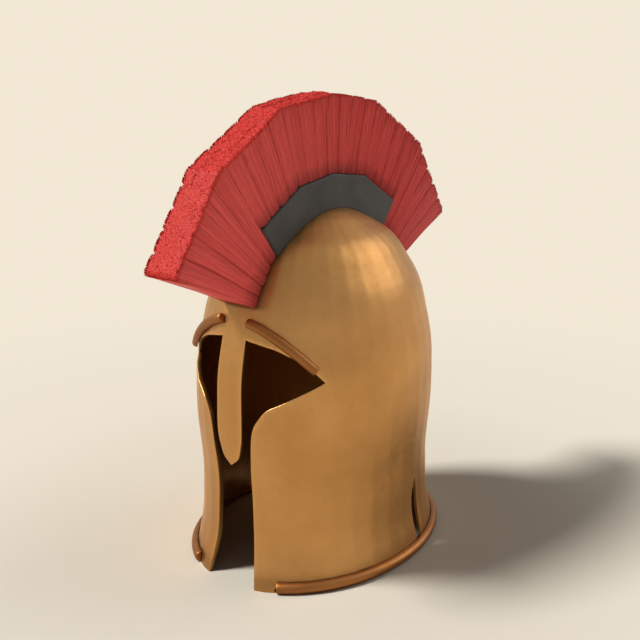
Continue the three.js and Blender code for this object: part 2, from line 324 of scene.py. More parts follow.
BLOW_SEED = 11
BLOW_STEP = 9.5         # spacing of the hammer's blows
BLOW_REACH = 7
BLOW_DEPTH = 0.14
BLOW_ASIDE = 0.22       # how unevenly they are spaced round the bowl, as a share
BLOW_RISE = 0.2         # and up it
BLOW_TOP = 20           # run below the crown that they leave out
BLOW_CLEAR = 5          # distance from an opening within which they fade
GIRTH = 1.13            # the bowl's girth over that of a circle as wide
CHUNK = 2000            # points measured at a time

EDGE_WEAR = 0.7
WEAR_REACH = 2
# Painted shade and dirt, where the bowl meets the crest and the rim bead
CREST_SHADE_AND_GRIME_REACH = 5
CREST_SHADE_AND_GRIME_Z = 250     # height above which shade and dirt are painted beside the crest
BEAD_SHADE_AND_GRIME = 0.5
BEAD_SHADE_AND_GRIME_REACH = 4


def resampled(path, step):
    """Points along a path, at most `step` apart, keeping its corners."""
    out = [path[:1]]
    for a, b in zip(path[:-1], path[1:]):
        count = max(int(math.ceil(np.linalg.norm(b - a) / step)), 1)
        out.append(mix(a, b, np.linspace(0, 1, count + 1)[1:, None]))
    return np.concatenate(out)


def sheet_edge():
    """The sheet's lower edge and openings as one path of (angle, z), from the back round the
    wearer's left to the back again."""
    notch = softened(np.array(NOTCH, float), [True] * len(NOTCH), OPENING_STEPS)
    foot = [np.interp(RIM_SEAT, notch[::-1, 0], notch[::-1, i]) for i in (1, 2)]
    notch = np.vstack([notch[notch[:, 0] > RIM_SEAT], [RIM_SEAT, *foot]])
    rear = np.column_stack([angle_at_y(notch[::-1, 2], notch[::-1, 0]), notch[::-1, 0]])
    front = np.column_stack([angle_at_y(notch[:, 1], notch[:, 0]), notch[:, 0]])
    corners = np.array([[c.x, c.z] for c in FACE_OPENING])
    face = softened(corners, [c.soft for c in FACE_OPENING], OPENING_STEPS)
    face = np.column_stack([angle_at_x(face[:, 0], face[:, 1]), face[:, 1]])
    step = RIM_START - RIM_LEAD
    left = np.vstack([[[180, RIM_SEAT]], rear, front, [[step, RIM_SEAT], [step, 0]], face])
    return np.vstack([left, left[-2::-1] * [-1, 1]])


def in_polygon(points, polygon):
    """Which points lie inside a closed outline."""
    inside = np.zeros(len(points), bool)
    x, y = points.T
    for (x0, y0), (x1, y1) in zip(polygon, np.roll(polygon, -1, axis=0)):
        if y0 == y1:
            continue
        crosses = (y0 > y) != (y1 > y)
        inside ^= crosses & (x < (x1 - x0) * (y - y0) / (y1 - y0) + x0)
    return inside


def nearest(points, targets):
    """Distance from each point to the nearest target."""
    out = np.empty(len(points))
    for start in range(0, len(points), CHUNK):
        part = points[start:start + CHUNK, None, :] - targets[None]
        out[start:start + CHUNK] = np.sqrt((part ** 2).sum(-1).min(1))
    return out


def hammer_marks(points):
    """Depth of the shallow dents that the hammer leaves, at points of the bowl."""
    random = np.random.default_rng(BLOW_SEED)
    blows = []
    for row, run in enumerate(np.arange(0, PROFILE_RUN[-1] - BLOW_TOP, BLOW_STEP)):
        half = np.interp(run, PROFILE_RUN, PROFILE_HALF)
        count = int(2 * math.pi * half * GIRTH / BLOW_STEP)
        angles = (np.arange(count) + 0.5 * (row % 2)) * 360 / count
        angles = angles + random.normal(0, BLOW_ASIDE, count) * 360 / count
        blows.append(bowl_points(angles, run + random.normal(0, BLOW_RISE, count) * BLOW_STEP))
    blows = np.concatenate(blows)
    near = nearest(points, blows)
    return BLOW_DEPTH * (1 - np.clip(near / BLOW_REACH, 0, 1) ** 2)


def lip_rise(run):
    """0 where the sheet sits in the rim bead, 1 from a little above it."""
    return np.clip((run - LIP_START) / LIP_RISE, 0, 1)


def painted_shade_and_grime(points):
    """How much shade and dirt are painted, from 0 to 1: beside the crest and just above the rim
    bead.
    """
    x, y, z = points.T
    beside = np.abs(x) - CREST_THICK / 2
    crest = np.exp(-np.clip(beside, 0, None) / CREST_SHADE_AND_GRIME_REACH) * (z > CREST_SHADE_AND_GRIME_Z)
    above = np.clip(z - 2 * RIM_RADIUS, 0, None)
    return np.maximum(crest, BEAD_SHADE_AND_GRIME * np.exp(-above / BEAD_SHADE_AND_GRIME_REACH))


def ways_in(edge):
    """From each point of the sheet's edge, the way into the sheet, longer at corners so that
    what is set back along it keeps its distance from both sides."""
    along = unit(np.diff(edge, axis=0))
    aside = np.column_stack([along[:, 1], -along[:, 0]])
    into = unit(np.vstack([[0, 1], aside[:-1] + aside[1:], [0, 1]]))
    into[1:-1] /= np.clip((into[1:-1] * aside[1:]).sum(1), LIP_MITRE, 1)[:, None]
    return into


def flat_sheet(rim, columns, top):
    """The unrolled sheet up to the dome: its points, its triangles, and the numbers of the
    points along its rim and under the dome's columns."""
    side = columns[-1]
    seam = np.linspace(rim[0, 1], top, SEAM_STEPS)[1:-1]
    outline = np.vstack([
        rim,
        np.column_stack([np.full(len(seam), -side), seam]),
        np.column_stack([columns, np.full(len(columns), top)]),
        np.column_stack([np.full(len(seam), side), seam[::-1]]),
    ])
    grid = []
    for i, run in enumerate(np.arange(0, top, ROW_STEP)):
        across = np.arange(-side + (i % 2) * SHEET_STEP / 2, side, SHEET_STEP)
        grid.append(np.column_stack([across, np.full(len(across), run)]))
    grid = np.concatenate(grid)
    grid = grid[in_polygon(grid, outline)]
    grid = grid[nearest(grid, outline) > EDGE_CLEAR]
    count = len(outline)
    ring = [(i, (i + 1) % count) for i in range(count)]
    made = delaunay_2d_cdt([Vector(p) for p in np.vstack([outline, grid])], ring, [], 1, 1e-7)
    points = np.array([tuple(p) for p in made[0]])
    triangles = np.array([f for f in made[2] if len(f) == 3])
    a, b, c = (points[triangles[:, i]] for i in range(3))
    area = (b[:, 0] - a[:, 0]) * (c[:, 1] - a[:, 1]) - (b[:, 1] - a[:, 1]) * (c[:, 0] - a[:, 0])
    triangles[area < 0] = triangles[area < 0][:, ::-1]
    number = {was: now for now, many in enumerate(made[3]) for was in many}
    first_column = len(rim) + len(seam)
    return (points, triangles, np.array([number[i] for i in range(len(rim))]),
            [number[first_column + i] for i in range(DOME_COLUMNS)])


def make_shell(material):
    edge = sheet_edge()
    edge = np.column_stack([edge[:, 0] * PER_DEGREE, run_at(edge[:, 1])])
    edge = resampled(edge, EDGE_STEP)
    into = ways_in(edge)
    top = run_at(DOME_Z)
    columns = np.linspace(-180 * PER_DEGREE, 180 * PER_DEGREE, DOME_COLUMNS + 1)
    flat, triangles, rim, under_dome = flat_sheet(edge + LIP * into, columns, top)
    dome_runs = np.linspace(top, PROFILE_RUN[-1], DOME_ROWS)
    dome = np.stack(np.meshgrid(columns[:-1], dome_runs), axis=-1).reshape(-1, 2)
    dome[:DOME_COLUMNS] = flat[under_dome]

    sheet = np.vstack([flat, dome])
    total = len(sheet)
    angle, run = sheet[:, 0] / PER_DEGREE, sheet[:, 1]
    to_edge = nearest(sheet, edge)
    thick = LIP_THICK * np.exp(-(to_edge / LIP_REACH) ** 2) * lip_rise(run)
    dents = hammer_marks(bowl_points(angle, run)) * np.clip(to_edge / BLOW_CLEAR, 0, 1)
    points = [
        bowl_points(angle, run, inward=dents),
        bowl_points(angle, run, depth=1, inward=thick),
    ]
    dome_faces = grid_faces(DOME_ROWS, DOME_COLUMNS) + len(flat)
    faces = [triangles, triangles[:, ::-1] + total, dome_faces, dome_faces[:, ::-1] + total]
    marks = {
        "wear": [EDGE_WEAR * np.exp(-to_edge / WEAR_REACH), np.zeros(total)],
        "lip": [np.zeros(total), np.zeros(total)],
        "inside": [np.zeros(total), np.ones(total)],
    }

    before = rim
    start = 2 * total
    for ring in LIP_SECTION:
        lip = edge + ring.back * LIP * into
        extra = ring.depth * LIP_THICK * lip_rise(lip[:, 1])
        points.append(bowl_points(lip[:, 0] / PER_DEGREE, lip[:, 1], ring.depth, extra))
        marks["wear"].append(np.full(len(lip), ring.worn))
        marks["lip"].append(np.full(len(lip), ring.dark))
        marks["inside"].append(np.full(len(lip), float(ring.depth > 0.5)))
        after = np.arange(len(lip)) + start
        faces.append(strip_faces(before, after))
        before = after
        start += len(lip)
    faces.append(strip_faces(before, rim + total))

    points.append([[0, 0, CROWN], [0, 0, CROWN - PROFILE_WALL[-1]]])
    marks["wear"].append([0, 0])
    marks["lip"].append([0, 0])
    marks["inside"].append([0, 1])
    circle = np.arange(total - DOME_COLUMNS, total)
    faces.append(cap_faces(circle, start))
    faces.append(cap_faces(circle + total, start + 1, flip=True))
    points = np.vstack(points)
    marks = {name: np.concatenate(values) for name, values in marks.items()}
    marks["painted_shade_and_grime"] = painted_shade_and_grime(points)
    points, faces, marks = weld(points, faces, marks)
    add_mesh("bronze_bowl", points, faces, material, marks, ["shell"])


# ---- Brow ridges and rim bead

BROW_SIDES = 24
BROW_STEPS = 60
ROUND_END = [(0, 0.7), (0.35, 0.9), (1, 1)]      # how a bar's end is rounded: run in, radius

RIM_ROUND = 40          # points round the bead's section
RIM_STEPS = 300
RIM_ENDS = [0, 0.15, 0.5]           # angles in from each end at which it is rounded
RIM_END_SIZE = 0.75     # its size there if the rounding's radius were 0
GROOVE_FLOOR = RIM_SEAT - GAP
GROOVE_POINTS = 6       # points of the groove's section


def rounded_steps(first, last, steps, ends):
    """Angles from first to last, with smaller steps at both ends."""
    middle = np.linspace(first, last, steps)[2:-2]
    return np.concatenate([first + np.array(ends), middle, last - np.array(ends[::-1])])


def on_bowl(x, z, proud):
    """A point of the bowl's face at x and z, its surface moved out by `proud`."""
    half = half_at(z) + proud
    return np.stack([x, -ASPECT * np.sqrt(half ** 2 - x ** 2), z], axis=-1)


def pushed_out(points, clearance):
    """Moves points that lie inside the bowl out to its surface, plus a clearance."""
    reach = np.hypot(points[..., 0], points[..., 1] / ASPECT)
    grow = np.maximum((half_at(points[..., 2]) + clearance) / reach, 1)
    return points * np.stack([grow, grow, np.ones_like(grow)], axis=-1)


def make_brow(side, material):
    share = np.linspace(0, 1, BROW_STEPS)[:, None]
    first, bend, last = BROW_CURVE
    xz = mix(mix(first, bend, share), mix(bend, last, share), share)
    middle = on_bowl(xz[:, 0], xz[:, 1], BROW_PROUD)
    along = unit(np.gradient(middle, axis=0))
    out = middle * [1, 1 / ASPECT ** 2, 0]
    out = unit(out - along * (out * along).sum(1)[:, None])
    aside = np.cross(along, out)
    size = np.ones(BROW_STEPS)
    for i, (shift, radius) in enumerate(ROUND_END):
        for end, sign in ((i, 1), (BROW_STEPS - 1 - i, -1)):
            middle[end] = middle[0 if sign > 0 else -1] + sign * along[end] * shift
            size[end] = radius
    turn = np.arange(BROW_SIDES) * 2 * math.pi / BROW_SIDES
    spoke = np.cos(turn)[:, None] * out[:, None] + np.sin(turn)[:, None] * aside[:, None]
    points = middle[:, None] + BROW_RADIUS * size[:, None, None] * spoke
    points = pushed_out(points, GAP) * [side, 1, 1]
    points, faces = closed_bar(points, flip=side < 0)
    name = "left" if side > 0 else "right"
    add_mesh(f"brow_bar_{name}", points, faces, material,
             replaces=[f"brow_ridge_{name}"])


def rim_section(angle):
    """The bead's section at an angle, as rows of (outward, z), with the groove for the bowl's
    edge in its top, except under the notches."""
    front = math.cos(math.radians(angle))
    wall = BOWL_LEVELS[0].wall + FACE_WALL * max(front, 0) ** FACE_FADE
    slope = (half_at(2 * RIM_RADIUS) - half_at(0)) / (2 * RIM_RADIUS)
    lip = []
    for near in (half_at(0) - RIM_HALF + GAP, half_at(0) - RIM_HALF - wall - GAP):
        middle = RIM_RADIUS - near * slope
        steep = 1 + slope ** 2
        top = (middle + math.sqrt(middle ** 2 - steep * near ** 2)) / steep
        lip.append((near + slope * top, top))
    starts = [math.atan2(top - RIM_RADIUS, near) for near, top in lip]
    turn = np.linspace(starts[0], starts[1] - 2 * math.pi, RIM_ROUND)
    ring = np.column_stack([np.cos(turn), np.sin(turn)]) * RIM_RADIUS + [0, RIM_RADIUS]
    y = -ASPECT * half_at(RIM_RADIUS) * front
    above, foot = NOTCH[-2:]
    heights = [foot.z, above.z]
    under_notch = all((
        np.interp(RIM_RADIUS, heights, [foot.front, above.front]) < y - GAP,
        np.interp(RIM_RADIUS, heights, [foot.rear, above.rear]) > y + GAP,
    ))
    if under_notch:
        turn = np.linspace(starts[1], starts[0], GROOVE_POINTS + 2)[1:-1]
        inner = np.column_stack([np.cos(turn), np.sin(turn)]) * RIM_RADIUS + [0, RIM_RADIUS]
    else:
        down = np.linspace(lip[1][1], GROOVE_FLOOR, GROOVE_POINTS // 2 + 1)[1:]
        inner = np.column_stack([
            np.concatenate([
                lip[1][0] + slope * (down - lip[1][1]),
                (lip[0][0] + slope * (down - lip[0][1]))[::-1],
            ]),
            np.concatenate([down, down[::-1]]),
        ])
    return np.vstack([ring, inner])


def make_rim(material):
    angles = rounded_steps(RIM_START, 360 - RIM_START, RIM_STEPS, RIM_ENDS)
    rings = []
    for i, angle in enumerate(angles):
        section = rim_section(angle)
        radius = ROUND_END[min(i, len(angles) - 1 - i, 2)][1]
        centre = [0, RIM_RADIUS]
        section = centre + (section - centre) * mix(RIM_END_SIZE, 1, radius)
        turn = math.radians(angle)
        middle = np.array([RIM_HALF * math.sin(turn), -RIM_HALF * ASPECT * math.cos(turn), 0])
        out = unit(np.array([ASPECT * math.sin(turn), -math.cos(turn), 0]))
        rings.append(middle + section[:, :1] * out + section[:, 1:] * [0, 0, 1])
    count = len(rings[0])
    points = np.concatenate(rings)
    total = len(points)
    faces = [grid_faces(len(rings), count)]
    flat = [Vector(p) for p in rim_section(RIM_START)]
    cap = delaunay_2d_cdt(flat, [], [list(range(count))[::-1]], 1, 1e-6)[2]
    cap = np.array([f for f in cap if len(f) == 3])
    faces += [cap[:, ::-1], cap + total - count]
    add_mesh("rolled_rim", points, faces, material,
             replaces=["rim_bead"])


# ---- Crest holder

HOLDER_ROUND = 2.0      # radius of the holder's edges
HOLDER_STEPS = 150
HOLDER_ENDS = [0, 0.12, 0.4, 0.9]   # angles in from each end at which it is rounded
HOLDER_INSET = [1.6, 0.9, 0.25, 0]  # how much smaller it is there
HOLDER_SIDE, HOLDER_CORNER, HOLDER_TOP, HOLDER_UNDER = 9, 6, 12, 14     # points of its section
BOWL_REACH = (40, 200)  # the bowl lies between these, from the fan's centre
SEARCH_STEPS = 30


def full_edge(edge):
    """An edge's corners from front to rear, from those of its front half."""
    rear = [Edge(180 - corner.angle, corner.reach) for corner in edge[-2::-1]]
    return list(edge) + rear


def fan_points(x, angle, reach):
    """Points given by x, the angle up from the front, and the distance from the fan's centre."""
    turn = np.radians(angle)
    return np.stack(np.broadcast_arrays(
        x, -reach * np.cos(turn), FAN_Z + reach * np.sin(turn),
    ), axis=-1)


def reach_at(edge, angle):
    """How far an edge of straight runs lies from the fan's centre at each angle."""
    edge = full_edge(edge)
    corners = np.array([corner.angle for corner in edge])
    reaches = np.array([corner.reach for corner in edge])
    after = np.clip(np.searchsorted(corners, angle), 1, len(edge) - 1)
    low, high = corners[after - 1], corners[after]
    from_low = np.sin(np.radians(angle - low)) / reaches[after]
    to_high = np.sin(np.radians(high - angle)) / reaches[after - 1]
    return np.sin(np.radians(high - low)) / (from_low + to_high)


def bowl_reach(x, angle, clearance):
    """How far from the fan's centre the bowl's surface lies, at x and an angle of the fan."""
    x, angle = np.broadcast_arrays(np.asarray(x, float), np.asarray(angle, float))
    low, high = (np.full(x.shape, float(reach)) for reach in BOWL_REACH)
    for _ in range(SEARCH_STEPS):
        middle = (low + high) / 2
        px, py, pz = np.moveaxis(fan_points(x, angle, middle), -1, 0)
        inside = pz < CROWN + clearance
        inside &= np.hypot(px, py / ASPECT) < half_at(pz) + clearance
        low = np.where(inside, middle, low)
        high = np.where(inside, high, middle)
    return high


def make_holder(material):
    edge = full_edge(HOLDER_EDGE)
    angles = rounded_steps(edge[0].angle, edge[-1].angle, HOLDER_STEPS, HOLDER_ENDS)
    corner = np.radians(np.linspace(0, 90, HOLDER_CORNER))
    rings = []
    for i, angle in enumerate(angles):
        near = min(i, len(angles) - 1 - i)
        cut = HOLDER_INSET[near] if near < len(HOLDER_INSET) else 0
        side = HOLDER_THICK / 2 - cut
        top = reach_at(HOLDER_EDGE, angle) - cut
        x = side - HOLDER_ROUND * (1 - np.cos(corner))
        up = top - HOLDER_ROUND * (1 - np.sin(corner))
        foot = bowl_reach(side, angle, GAP)
        climb = np.linspace(foot, up[0], HOLDER_SIDE + 1)[:-1]
        across = np.linspace(x[-1], -x[-1], HOLDER_TOP + 2)[1:-1]
        under = np.linspace(-side, side, HOLDER_UNDER + 2)[1:-1]
        ring_x = np.concatenate([
            np.full(HOLDER_SIDE, side), x, across, -x[::-1], np.full(HOLDER_SIDE, -side), under,
        ])
        ring_up = np.concatenate([
            climb, up, np.full(HOLDER_TOP, top), up[::-1], climb[::-1],
            bowl_reach(under, angle, GAP),
        ])
        rings.append(fan_points(ring_x, angle, ring_up))
    points, faces = closed_bar(rings, flip=True)
    add_mesh("crest_box", points, faces, material,
             replaces=["crest_holder"])


# ---- Crest

LOCKS = 25
LOCK_SHORT = 1.6        # most that a lock falls short of the trimmed edge
LOCK_ROWS = 3           # rows of locks across the crest
LOCK_PHASE, ROW_PHASE = 5.1, 2.3    # steps of the wave that sets how short each is
LOCK_INSET, LOCK_BULGE, BULGE_PHASE = 0.3, 0.25, 2.4    # and how far its side stands in or out
GROOVE, GROOVE_SHARP = 1.9, 5       # depth of the groove between two locks
GROOVE_FADE = 2         # angle from the crest's ends within which grooves fade
CREST_ROUND, CREST_ROUND_SHARP = 1.4, 14        # fall of the trimmed face at its two edges
CREST_LEAN = 2.5        # turn of the crest's two ends at their roots
LEAN_SPAN = 20          # angle over which that fades, from each end
HOLDER_LAP = 0.2        # angle past the holder's ends within which hair still starts on it
LEAST_COSINE = 0.1
BELOW_ONE = 0.9999      # keeps the crest's last angle in its last lock

HAIR_SEED = 5
HAIR_STEP = 0.95        # size of the trimmed face's grid, about one hair bundle
HAIR_WIDTH, WIDTH_RANGE = 0.9, (0.7, 1.25)
HAIR_RIDGE = 0.35       # height of a strand, as a share of its width
HAIR_TAPER, TAPER_SHARP = 0.6, 4    # share of its width that it loses towards its tip
HAIR_COVER = 0.75       # thickness of the loose hair over the dense inside
HAIR_LOOSE = 0.8        # how far the ends of loose hair stand over it
HAIR_POINTS = 8         # points along a long strand
FULL_TURN = 6.3         # near enough, to start a wave anywhere

BODY_END = 0.15         # angle by which the dense inside stops short
BODY_INSET = [1, 0.3]   # how much smaller it is at its two ends, ring by ring
BODY_SIDE, BODY_UNDER = 8, 6        # points of its section
BODY_CLIMB = 0.8        # below 1, they lie closer towards the trimmed face
BODY_ROUGH = 0.22       # unevenness of the trimmed face

# For each kind of strand: how many, the angle that they keep off the crest's ends, how far they
# stand over the trimmed face, and how far they may fall short of that.
SIDE_HAIRS, SIDE_END, SIDE_OVER, SIDE_SHORT = 3700, 0.1, 0.5, 2.2
SIDE_START = 0.3        # share of the way up within which they start
SIDE_GATHER, SIDE_DRIFT = 0.12, 0.05        # shares of a lock that they turn aside
SIDE_WAVE, SIDE_WAVES = 0.02, (4, 9)        # size of their waves, and how fast these go
SIDE_LAYER, SIDE_SUNK = 0.95, 0.15  # shares of the cover that they fill and sink in
END_HAIRS, END_END, END_OVER, END_SHORT = 260, 0.12, 0.4, 1.5
END_MARGIN, END_DRIFT, END_LAYER = 0.8, 0.5, 0.15
TIP_HAIRS, TIP_END, TIP_OVER = 19000, 0.2, 0.75
TIP_MARGIN, TIP_LONG, TIP_LEAN, TIP_TURN = 0.3, 2.5, 0.15, 0.3


def crest_span():
    edge = full_edge(CREST_EDGE)
    return edge[0].angle, edge[-1].angle


def crest_lean(angle):
    """How far the hair near the crest's two ends has turned at its root."""
    first, last = crest_span()
    front = np.clip(1 - (angle - first) / LEAN_SPAN, 0, 1)
    rear = np.clip(1 - (last - angle) / LEAN_SPAN, 0, 1)
    return CREST_LEAN * (front - rear)


def crest_points(x, angle, share, end):
    """Points of the crest's hair, from its root (share 0) to its trimmed end (share 1), which
    lies `end` from the fan's centre."""
    lean = crest_lean(angle)
    root = crest_root(x, angle + lean)
    return fan_points(x, angle + lean * (1 - share), root + (end - root) * share)


def crest_root(x, angle):
    """How far out the crest's hair starts: on the bowl, or on the holder's top."""
    edge = full_edge(HOLDER_EDGE)
    first, last = edge[0].angle, edge[-1].angle
    over = (angle > first - HOLDER_LAP) & (angle < last + HOLDER_LAP)
    on_holder = reach_at(HOLDER_EDGE, np.clip(angle, first, last)) + GAP
    return np.where(over, on_holder, bowl_reach(x, angle, GAP))


def lock_place(angle):
    """Where an angle lies in its lock, from -1 to 1, and the lock's number."""
    first, last = crest_span()
    place = np.clip((angle - first) / (last - first), 0, BELOW_ONE) * LOCKS
    number = np.floor(place)
    return 2 * (place - number) - 1, number.astype(int)


def crest_half(angle):
    """Half the thickness of the crest's dense inside, with a groove between each two locks."""
    aside, number = lock_place(angle)
    first, last = crest_span()
    ends = np.clip(np.minimum(angle - first, last - angle) / GROOVE_FADE, 0, 1)
    bulge = LOCK_BULGE * np.sin(number * BULGE_PHASE)
    in_by = GROOVE * np.abs(aside) ** GROOVE_SHARP + LOCK_INSET + bulge
    return CREST_THICK / 2 - HAIR_COVER - in_by * ends


def crest_reach(x, angle):
    """How far out that inside is trimmed."""
    _, number = lock_place(angle)
    row = np.clip(np.round(x / CREST_THICK * LOCK_ROWS), -1, 1)
    uneven = 0.5 + 0.5 * np.sin(number * LOCK_PHASE + row * ROW_PHASE)
    first, last = crest_span()
    fade = np.sin(np.pi * np.clip((angle - first) / (last - first), 0, 1))
    trimmed = reach_at(CREST_EDGE, angle) - LOCK_SHORT * uneven * fade
    longest = CREST_END / np.maximum(np.abs(np.cos(np.radians(angle))), LEAST_COSINE)
    return np.minimum(trimmed, longest) - HAIR_LOOSE


def make_crest_body(material, random):
    """The dense inside of the crest: closed, with the uneven ends of the hair as its top."""
    first, last = crest_span()
    steps = int(math.radians(last - first) * CREST_EDGE[-1].reach / HAIR_STEP)
    angles = np.linspace(first + BODY_END, last - BODY_END, steps)
    columns = int(CREST_THICK / HAIR_STEP)
    climb = np.linspace(0, 1, BODY_SIDE + 1)[:-1] ** BODY_CLIMB
    share = np.concatenate([climb, np.ones(columns), climb[::-1], np.zeros(BODY_UNDER)])
    across = np.linspace(1, -1, columns)
    rounding = CREST_ROUND * np.abs(across) ** CREST_ROUND_SHARP
    rings = []
    for i, angle in enumerate(angles):
        near = min(i, steps - 1 - i)
        cut = BODY_INSET[near] if near < len(BODY_INSET) else 0
        half = float(crest_half(angle)) - cut
        x = half * across
        top = crest_reach(x, angle) - cut - rounding + random.normal(0, BODY_ROUGH, columns)
        under = np.linspace(-half, half, BODY_UNDER + 2)[1:-1]
        ring_x = np.concatenate([np.full(BODY_SIDE, half), x, np.full(BODY_SIDE, -half), under])
        end = np.concatenate([
            np.full(BODY_SIDE, top[0]), top, np.full(BODY_SIDE + BODY_UNDER, top[-1]),
        ])
        rings.append(crest_points(ring_x, angle, share, end))
    points, faces = closed_bar(rings, flip=True)
    marks = {
        "along": np.append(np.tile(share, steps), [0.5, 0.5]),
        "shade": random.random(len(points)),
    }
    add_mesh("crest_body", points, faces, material, marks, ["crest_plume"])


def hairs(path, width, facing):
    """Thin three-sided bars along paths, given as (hair, step, xyz), each narrowing to its tip.
    facing is the way that each bar's ridge points."""
    count, steps, _ = path.shape
    aside = unit(np.cross(unit(np.gradient(path, axis=1)), facing[:, None]))
    taper = 1 - HAIR_TAPER * np.linspace(0, 1, steps)[None, :, None] ** TAPER_SHARP
    half = 0.5 * width[:, None, None] * taper * aside
    ridge = path + HAIR_RIDGE * width[:, None, None] * taper * facing[:, None]
    points = np.stack([path - half, ridge, path + half], axis=2)
    first = (np.arange(count) * steps * 3)[:, None]
    quads = (first[..., None] + grid_faces(steps, 3)[None]).reshape(-1, 4)
    tips = first + 3 * (steps - 1) + np.arange(3)
    roots = first + np.arange(3)[::-1]
    return points.reshape(-1, 3), quads, np.vstack([tips, roots])


def side_hairs(side, random):
    """Long strands down one side of the crest, gathered a little towards their locks."""
    count = SIDE_HAIRS
    first, last = crest_span()
    spacing = (last - first) / LOCKS
    first, last = first + SIDE_END, last - SIDE_END
    angle = random.uniform(first, last, count)
    start = SIDE_START * random.random(count) ** 3
    share = start[:, None] + (1 - start[:, None]) * np.linspace(0, 1, HAIR_POINTS)
    aside, _ = lock_place(angle)
    gather = -aside * SIDE_GATHER * random.random(count)
    drift = random.normal(0, SIDE_DRIFT, count) + gather
    wave = SIDE_WAVE * np.sin(share * random.uniform(*SIDE_WAVES, count)[:, None]
                              + FULL_TURN * random.random(count)[:, None])
    turn = angle[:, None] + (drift[:, None] * share + wave) * spacing
    turn = np.clip(turn, first, last)
    layer = random.random(count)[:, None]
    x = side * (crest_half(turn) + HAIR_COVER * (SIDE_LAYER * layer - SIDE_SUNK))
    end = crest_reach(x, turn) + SIDE_OVER - SIDE_SHORT * random.random(count)[:, None] ** 3
    path = crest_points(x, turn, share, end)
    return path, np.tile([float(side), 0, 0], (count, 1)), share


def end_hairs(end, random):
    """Strands down the crest's front end (0) or rear end (1)."""
    count = END_HAIRS
    inward = (1, -1)[end]
    angle = crest_span()[end] + inward * END_END
    half = CREST_THICK / 2 - END_MARGIN
    share = np.tile(np.linspace(0, 1, HAIR_POINTS), (count, 1))
    x = random.uniform(-half, half, count)[:, None]
    x = np.clip(x + random.normal(0, END_DRIFT, count)[:, None] * share, -half, half)
    layer = inward * END_LAYER * random.random(count)[:, None]
    turn = np.full((count, HAIR_POINTS), angle) + layer
    stop = crest_reach(x, turn) + END_OVER - END_SHORT * random.random(count)[:, None] ** 3
    path = crest_points(x, turn, share, stop)
    fan = math.radians(angle)
    out = np.array([0, -math.sin(fan), -math.cos(fan)]) * inward
    return path, np.tile(out, (count, 1)), share


def tip_hairs(random):
    """The ends of single strands standing on the trimmed face."""
    count = TIP_HAIRS
    first, last = crest_span()
    angle = random.uniform(first + TIP_END, last - TIP_END, count)[:, None]
    x = random.uniform(-1, 1, count)[:, None] * (crest_half(angle) - TIP_MARGIN)
    high = crest_reach(x, angle) + TIP_OVER * random.random(count)[:, None] ** 1.5
    share = np.array([[0.0, 1.0]])
    lean = random.normal(0, TIP_LEAN, (2, count, 1)) * share
    path = fan_points(x + lean[0], angle + TIP_TURN * lean[1], high - TIP_LONG * (1 - share))
    spin = 2 * math.pi * random.random(count)
    fan = np.radians(angle[:, 0])
    out = np.column_stack([np.cos(spin), np.sin(spin) * np.sin(fan), np.sin(spin) * np.cos(fan)])
    return path, out, np.ones((count, 2))


def add_hair(name, parts, material, random):
    """One piece of loose hair from parts, given as paths, facing and share up each hair."""
    points, faces, shade, along = [], [], [], []
    start = 0
    for path, facing, share in parts:
        count, steps, _ = path.shape
        made, quads, ends = hairs(path, HAIR_WIDTH * random.uniform(*WIDTH_RANGE, count), facing)
        points.append(made)
        faces += [quads + start, ends + start]
        shade.append(np.repeat(random.random(count), steps * 3))
        along.append(np.repeat(share.ravel(), 3))
        start += len(made)
    marks = {"shade": np.concatenate(shade), "along": np.concatenate(along)}
    add_mesh(name, np.vstack(points), faces, material, marks,
             ["crest_plume"])


def make_crest(material):
    random = np.random.default_rng(HAIR_SEED)
    make_crest_body(material, random)
    add_hair("crest_hair_left", [side_hairs(1, random)], material, random)
    add_hair("crest_hair_right", [side_hairs(-1, random)], material, random)
    ends = [end_hairs(0, random), end_hairs(1, random)]
    add_hair("crest_hair_ends", ends + [tip_hairs(random)], material, random)


# ---- Materials

BRONZE = ((0.61, 0.315, 0.108), (0.52, 0.26, 0.084))            # light and dark
DARK_BRONZE = ((0.38, 0.155, 0.048), (0.30, 0.115, 0.034))
LEATHER = ((0.028, 0.026, 0.024), (0.055, 0.05, 0.046))
HAIR = ((0.67, 0.072, 0.066), (0.81, 0.099, 0.092), (0.91, 0.132, 0.121))
HAIR_SHINE, CUT_SHINE = 0.25, 0.1
CUT_START = 0.97        # share of a hair's length at which its cut end starts
# What multiplies the hair's colour from its root to its cut end: the darker root is painted shade
# at the crest's foot, and the darker, redder cut end is painted shade on the trimmed face.
HAIR_PAINTED_SHADE = [
    (0, (0.5, 0.45, 0.45)),
    (0.2, (0.95, 0.95, 0.95)),
    (CUT_START, (1, 1, 1)),
    (1, (0.73, 0.455, 0.385)),
]


def grey(value):
    return (value,) * 3


def times(colour, share):
    return tuple(min(share * c, 1) for c in colour)


def new_material(name):
    material = bpy.data.materials.new(name)
    material.use_nodes = True
    tree = material.node_tree
    return material, tree.nodes, tree.links, tree.nodes["Principled BSDF"]


def noise_at(nodes, links, place, scale, detail, roughness=0.55):
    noise = nodes.new("ShaderNodeTexNoise")
    noise.inputs["Scale"].default_value = scale
    noise.inputs["Detail"].default_value = detail
    noise.inputs["Roughness"].default_value = roughness
    links.new(place, noise.inputs["Vector"])
    return noise.outputs["Fac"]


def ramp(nodes, links, value, stops):
    """Turns a number into a colour, by stops of (number, colour)."""
    node = nodes.new("ShaderNodeValToRGB")
    elements = node.color_ramp.elements
    while len(elements) < len(stops):
        elements.new(0.5)
    for element, (position, colour) in zip(elements, stops):
        element.position = position
        element.color = (*colour, 1)
    links.new(value, node.inputs["Fac"])
    return node.outputs["Color"]


